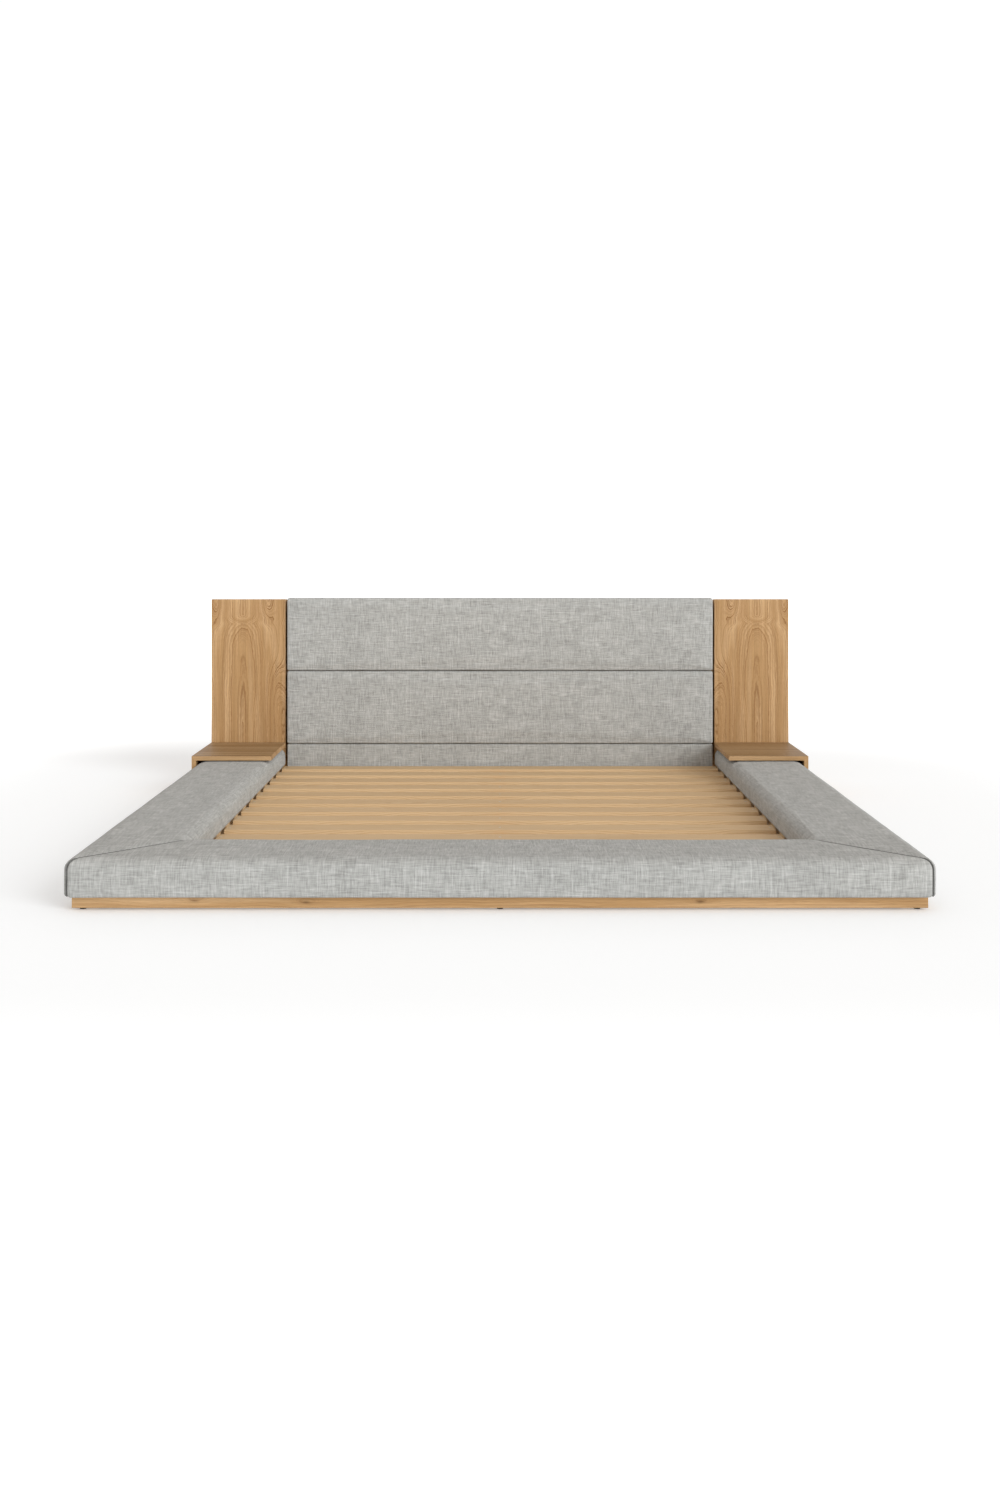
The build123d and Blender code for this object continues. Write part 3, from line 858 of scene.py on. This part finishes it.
def make_cushion(name, cloth):
    low, high = (np.array(corner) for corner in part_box(f"{name}_cover"))
    low[1] += cushion_swell / 2
    piece, held = padded_box(name, low, high, cushion_edge, cloth)
    inflate(piece, held, cushion_swell, cushion_pressure)
    uneven(piece, held, ripple)
    smooth_out(piece)
    settle(piece, [f"{name}_cover", f"{name}_foam"])


def make_apron(cloth):
    low, high = (np.array(corner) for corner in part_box("headboard_apron"))
    piece, _ = padded_box("apron", low, high, apron_edge, cloth)
    smooth_out(piece)
    settle(piece, ["headboard_apron"])


# ---- camera, light and floor --------------------------------------------------------------------
def make_camera():
    data = bpy.data.cameras.new("camera")
    data.sensor_fit = "AUTO"
    data.sensor_width = sensor
    data.lens = focal_share * data.sensor_width
    data.shift_y = horizon_shift
    camera = bpy.data.objects.new("camera", data)
    camera.location = (0, foot_y - camera_distance, camera_height)
    camera.rotation_euler = (math.pi / 2, 0, 0)
    bpy.context.scene.collection.objects.link(camera)
    bpy.context.scene.camera = camera


def make_key():
    """A soft light from the front and right."""
    data = bpy.data.lights.new("key", "SUN")
    data.energy = key_strength
    data.angle = math.radians(key_spread)
    data.color = key_colour
    light = bpy.data.objects.new("key", data)
    light.rotation_euler = (math.radians(90 - key_elevation), 0, math.radians(key_azimuth))
    bpy.context.scene.collection.objects.link(light)


def make_world():
    """A pale room, a little warm overhead, white behind the bed and along the horizon."""
    world = bpy.data.worlds.new("studio")
    bpy.context.scene.world = world
    world.use_nodes = True
    tree = world.node_tree

    def ramp(value, start, end):
        node = tree.nodes.new("ShaderNodeMapRange")
        node.interpolation_type = "SMOOTHSTEP"
        node.inputs["From Min"].default_value = start
        node.inputs["From Max"].default_value = end
        tree.links.new(value, node.inputs["Value"])
        return node.outputs["Result"]

    place = tree.nodes.new("ShaderNodeTexCoord")
    parts = tree.nodes.new("ShaderNodeSeparateXYZ")
    tree.links.new(place.outputs["Generated"], parts.inputs[0])
    white = tree.nodes.new("ShaderNodeMath")
    white.operation = "MAXIMUM"
    tree.links.new(ramp(parts.outputs[1], 0.72, 0.86), white.inputs[0])
    tree.links.new(ramp(parts.outputs[2], 0.38, 0.16), white.inputs[1])
    mix = tree.nodes.new("ShaderNodeMix")
    mix.data_type = "RGBA"
    room = [room_strength * part for part in room_tint]
    mix.inputs["A"].default_value = rgb(*room)
    mix.inputs["B"].default_value = rgb(studio_white, studio_white, studio_white)
    tree.links.new(white.outputs[0], mix.inputs["Factor"])
    tree.links.new(mix.outputs["Result"], tree.nodes["Background"].inputs["Color"])


def make_floor():
    """Pale floor that brightens to white away from the bed."""
    mesh = bpy.data.meshes.new("floor")
    reach = floor_reach
    corners = [(-reach, -reach, 0), (reach, -reach, 0), (reach, reach, 0), (-reach, reach, 0)]
    mesh.from_pydata(corners, [], [(0, 1, 2, 3)])
    floor = bpy.data.objects.new("floor", mesh)
    bpy.context.scene.collection.objects.link(floor)
    g = Graph("floor", roughness=0.9)
    x, y, z = g.place()
    sideways = g.math("MAXIMUM", abs(x) - outer_half, 0.0)
    endways = g.math("MAXIMUM", abs(y) + foot_y, 0.0)
    away = g.math("SQRT", sideways * sideways + endways * endways)
    far = g.smooth(away, *fade)
    g.colour(rgb(*floor_colour))
    g.surface.inputs["Specular IOR Level"].default_value = 0.1
    g.surface.inputs["Emission Color"].default_value = rgb(1, 1, 1)
    g.put(g.surface.inputs["Emission Strength"], far * far_glow + near_glow)
    mesh.materials.append(g.material)
    floor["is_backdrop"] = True


def make_stage():
    scene = bpy.context.scene
    scene.view_settings.view_transform = "Standard"
    make_camera()
    make_key()
    make_world()
    make_floor()


# ---- everything ---------------------------------------------------------------------------------
def paint_timber():
    slats = [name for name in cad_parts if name.startswith("slat_") and name != "slat_screws"]
    paint(wing_oak(), "left_oak_wing", "right_oak_wing")
    # The shelves' level tops are painted darker (0.70) than their edges (0.97): painted shade on the tops.
    shelf_oak = straight_oak("oak_shelves", 0, 3.0, 0.70, 0.97)
    paint(shelf_oak, "left_nightstand_shelf", "right_nightstand_shelf")
    sides = ("left_nightstand_side", "right_nightstand_side")
    paint(straight_oak("oak_bedside_uprights", 2, 6.0), *sides)
    back = ("headboard_lining", "left_headboard_end", "right_headboard_end")
    paint(straight_oak("oak_headboard_back", 2, 11.0), *back)
    paint(knotty_oak("oak_plinth_ends", 0, 2.0), "plinth_front", "plinth_back")
    paint(knotty_oak("oak_plinth_sides", 1, 8.0), "left_plinth", "right_plinth")
    paint(soft_wood("softwood_slats", 0, 1.0), *slats)
    lengthwise = ("center_beam", "left_slat_ledger", "right_slat_ledger", "foot_blocks")
    paint(soft_wood("softwood_lengthwise", 1, 4.0), *lengthwise)
    frame_parts = ("headboard_rails", "headboard_uprights")
    paint(soft_wood("softwood_headboard_frame", 0, 9.0), *frame_parts)
    carcasses = ("foot_rail_carcass", "left_rail_carcass", "right_rail_carcass")
    paint(plywood("birch_plywood", 2.0), *carcasses, "headboard_panel")


def paint_hardware():
    metal = ("beam_brackets", "slat_screws", "nightstand_screws", "connector_bolts")
    paint(zinc(), *metal, "connector_nuts", "threaded_inserts")
    paint(black_plastic(), "nail_glides")
    foot = foot_material(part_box("plinth_front")[0][2] - pad_gap)
    feet = [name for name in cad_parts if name.startswith("leveling_foot")]
    paint(foot, *feet)


def make_upholstery():
    cloth = linen("linen_upholstery")
    # The welts' linen is darkened to 0.42 as painted shade, standing for the shadow deep in the mitre
    # seams.
    seam_shade_cloth = linen("linen_darkened_for_seam_shade", 0.42)
    side_length = wing_y - front_y
    make_rail("foot_rail", 2 * outer_half, ("start", "end"), place_foot, cloth)
    make_rail("left_rail", side_length, ("start",), place_left, cloth)
    make_rail("right_rail", side_length, ("start",), place_right, cloth)
    corner_welt("left_mitre_welt", place_left, seam_shade_cloth)
    corner_welt("right_mitre_welt", place_right, seam_shade_cloth)
    make_cushion("upper_cushion", cloth)
    make_cushion("lower_cushion", cloth)
    make_apron(cloth)


def write_size():
    """Rounds the low and high corners of the object as loaded, then as made."""
    corners = [*size_at_load, *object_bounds()]
    numbers = [[round(float(c), 5) for c in corner] for corner in corners]


make_stage()
paint_timber()
paint_hardware()
make_upholstery()
write_size()
